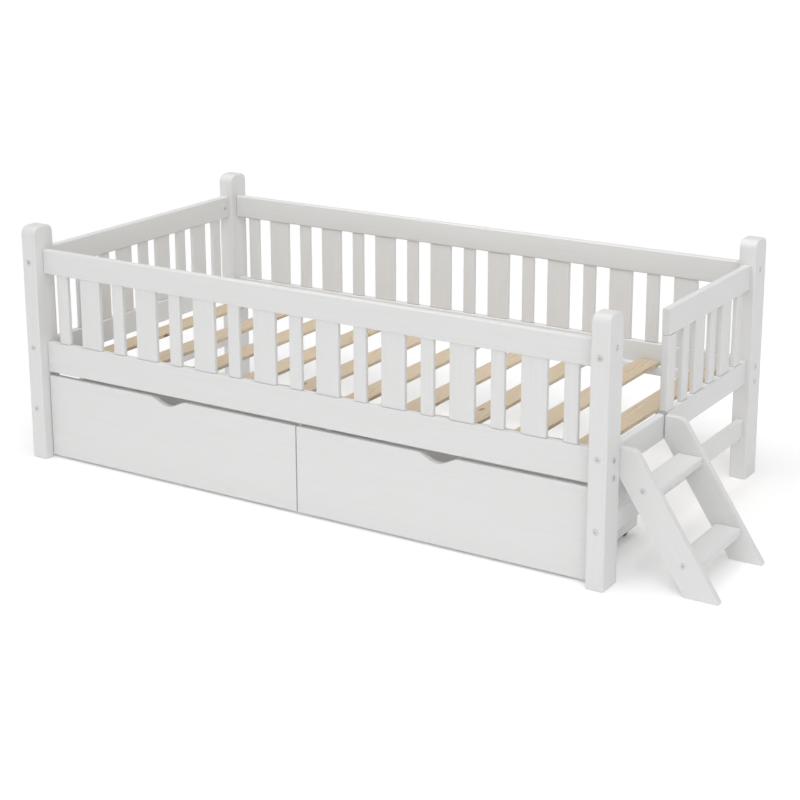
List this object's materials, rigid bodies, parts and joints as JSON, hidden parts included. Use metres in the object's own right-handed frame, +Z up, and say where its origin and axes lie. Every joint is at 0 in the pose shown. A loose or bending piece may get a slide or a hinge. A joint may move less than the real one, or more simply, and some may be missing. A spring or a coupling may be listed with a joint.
{
  "type": "toddler bed",
  "caption": "Low toddler bed with slatted guards on all sides, roll-out storage drawers and a step ladder that hooks on at one end.",
  "frame": {"origin": "on the floor, under the middle of the whole object's bounding box, ladder included", "axes": "+X along the bed towards the ladder end, +Y towards the back (the drawers open towards -Y), +Z up"},
  "size_m": [1.9215, 0.9, 0.629],
  "materials": {
    "white_lacquer": "white satin lacquer on pine",
    "white_panel": "white-faced hardboard, matt",
    "natural_pine": "planed, unpainted",
    "castor_wheel": "matt black",
    "zinc_steel": "zinc plated"
  },
  "bodies": {
    "bed_frame": {"post_front_left": "white_lacquer", "post_front_right": "white_lacquer", "post_back_left": "white_lacquer", "post_back_right": "white_lacquer", "front_guard_rail": "white_lacquer", "front_guard_slats": "white_lacquer", "front_main_rail": "white_lacquer", "front_ledger": "white_lacquer", "back_guard_rail": "white_lacquer", "back_guard_slats": "white_lacquer", "back_main_rail": "white_lacquer", "back_ledger": "white_lacquer", "left_guard_rail": "white_lacquer", "left_guard_slats": "white_lacquer", "left_end_rail": "white_lacquer", "left_stretcher": "white_lacquer", "right_guard_rail": "white_lacquer", "right_guard_upright": "white_lacquer", "right_guard_slats": "white_lacquer", "right_end_rail": "white_lacquer", "right_stretcher": "white_lacquer", "bed_slat_01": "natural_pine", "bed_slat_02": "natural_pine", "bed_slat_03": "natural_pine", "bed_slat_04": "natural_pine", "bed_slat_05": "natural_pine", "bed_slat_06": "natural_pine", "bed_slat_07": "natural_pine", "bed_slat_08": "natural_pine", "bed_slat_09": "natural_pine", "bed_slat_10": "natural_pine"},
    "drawer_left": {"drawer_left_front": "white_lacquer", "drawer_left_side_left": "white_lacquer", "drawer_left_side_right": "white_lacquer", "drawer_left_back": "white_lacquer", "drawer_left_bottom": "white_panel", "drawer_left_castor_strip_left": "zinc_steel", "drawer_left_castor_strip_right": "zinc_steel"},
    "drawer_right": {"drawer_right_front": "white_lacquer", "drawer_right_side_left": "white_lacquer", "drawer_right_side_right": "white_lacquer", "drawer_right_back": "white_lacquer", "drawer_right_bottom": "white_panel", "drawer_right_castor_strip_left": "zinc_steel", "drawer_right_castor_strip_right": "zinc_steel"},
    "ladder": {"ladder_stringer_front": "white_lacquer", "ladder_stringer_back": "white_lacquer", "ladder_tread_lower": "white_lacquer", "ladder_tread_upper": "white_lacquer", "ladder_hook_front": "zinc_steel", "ladder_hook_back": "zinc_steel"},
    "left_drawer_front_left_castor": {"drawer_left_wheel_front_left": "castor_wheel"},
    "left_drawer_rear_left_castor": {"drawer_left_wheel_rear_left": "castor_wheel"},
    "left_drawer_front_right_castor": {"drawer_left_wheel_front_right": "castor_wheel"},
    "left_drawer_rear_right_castor": {"drawer_left_wheel_rear_right": "castor_wheel"},
    "right_drawer_front_left_castor": {"drawer_right_wheel_front_left": "castor_wheel"},
    "right_drawer_rear_left_castor": {"drawer_right_wheel_rear_left": "castor_wheel"},
    "right_drawer_front_right_castor": {"drawer_right_wheel_front_right": "castor_wheel"},
    "right_drawer_rear_right_castor": {"drawer_right_wheel_rear_right": "castor_wheel"}
  },
  "joints": [
    {"name": "drawer_left_slide", "type": "slide", "parent": "bed_frame", "child": "drawer_left", "axis": [0, -1, 0], "range_m": [0, 0.45]},
    {"name": "drawer_right_slide", "type": "slide", "parent": "bed_frame", "child": "drawer_right", "axis": [0, -1, 0], "range_m": [0, 0.45]},
    {"name": "ladder_lift", "type": "slide", "parent": "bed_frame", "child": "ladder", "axis": [0, 0, 1], "range_m": [0, 0.06]},
    {"name": "left_drawer_front_left_roll", "type": "hinge", "parent": "drawer_left", "child": "left_drawer_front_left_castor", "pos_m": [-0.85408, -0.378, 0.02], "axis": [1, 0, 0], "continuous": true},
    {"name": "left_drawer_rear_left_roll", "type": "hinge", "parent": "drawer_left", "child": "left_drawer_rear_left_castor", "pos_m": [-0.85408, -0.1252, 0.02], "axis": [1, 0, 0], "continuous": true},
    {"name": "left_drawer_front_right_roll", "type": "hinge", "parent": "drawer_left", "child": "left_drawer_front_right_castor", "pos_m": [-0.18248, -0.378, 0.02], "axis": [1, 0, 0], "continuous": true},
    {"name": "left_drawer_rear_right_roll", "type": "hinge", "parent": "drawer_left", "child": "left_drawer_rear_right_castor", "pos_m": [-0.18248, -0.1252, 0.02], "axis": [1, 0, 0], "continuous": true},
    {"name": "right_drawer_front_left_roll", "type": "hinge", "parent": "drawer_right", "child": "right_drawer_front_left_castor", "pos_m": [-0.05908, -0.378, 0.02], "axis": [1, 0, 0], "continuous": true},
    {"name": "right_drawer_rear_left_roll", "type": "hinge", "parent": "drawer_right", "child": "right_drawer_rear_left_castor", "pos_m": [-0.05908, -0.1252, 0.02], "axis": [1, 0, 0], "continuous": true},
    {"name": "right_drawer_front_right_roll", "type": "hinge", "parent": "drawer_right", "child": "right_drawer_front_right_castor", "pos_m": [0.61252, -0.378, 0.02], "axis": [1, 0, 0], "continuous": true},
    {"name": "right_drawer_rear_right_roll", "type": "hinge", "parent": "drawer_right", "child": "right_drawer_rear_right_castor", "pos_m": [0.61252, -0.1252, 0.02], "axis": [1, 0, 0], "continuous": true}
  ],
  "couplings": [
    {"joint": "left_drawer_front_left_roll", "follows": "drawer_left_slide", "rad_per_m": 50},
    {"joint": "left_drawer_rear_left_roll", "follows": "drawer_left_slide", "rad_per_m": 50},
    {"joint": "left_drawer_front_right_roll", "follows": "drawer_left_slide", "rad_per_m": 50},
    {"joint": "left_drawer_rear_right_roll", "follows": "drawer_left_slide", "rad_per_m": 50},
    {"joint": "right_drawer_front_left_roll", "follows": "drawer_right_slide", "rad_per_m": 50},
    {"joint": "right_drawer_rear_left_roll", "follows": "drawer_right_slide", "rad_per_m": 50},
    {"joint": "right_drawer_front_right_roll", "follows": "drawer_right_slide", "rad_per_m": 50},
    {"joint": "right_drawer_rear_right_roll", "follows": "drawer_right_slide", "rad_per_m": 50}
  ]
}
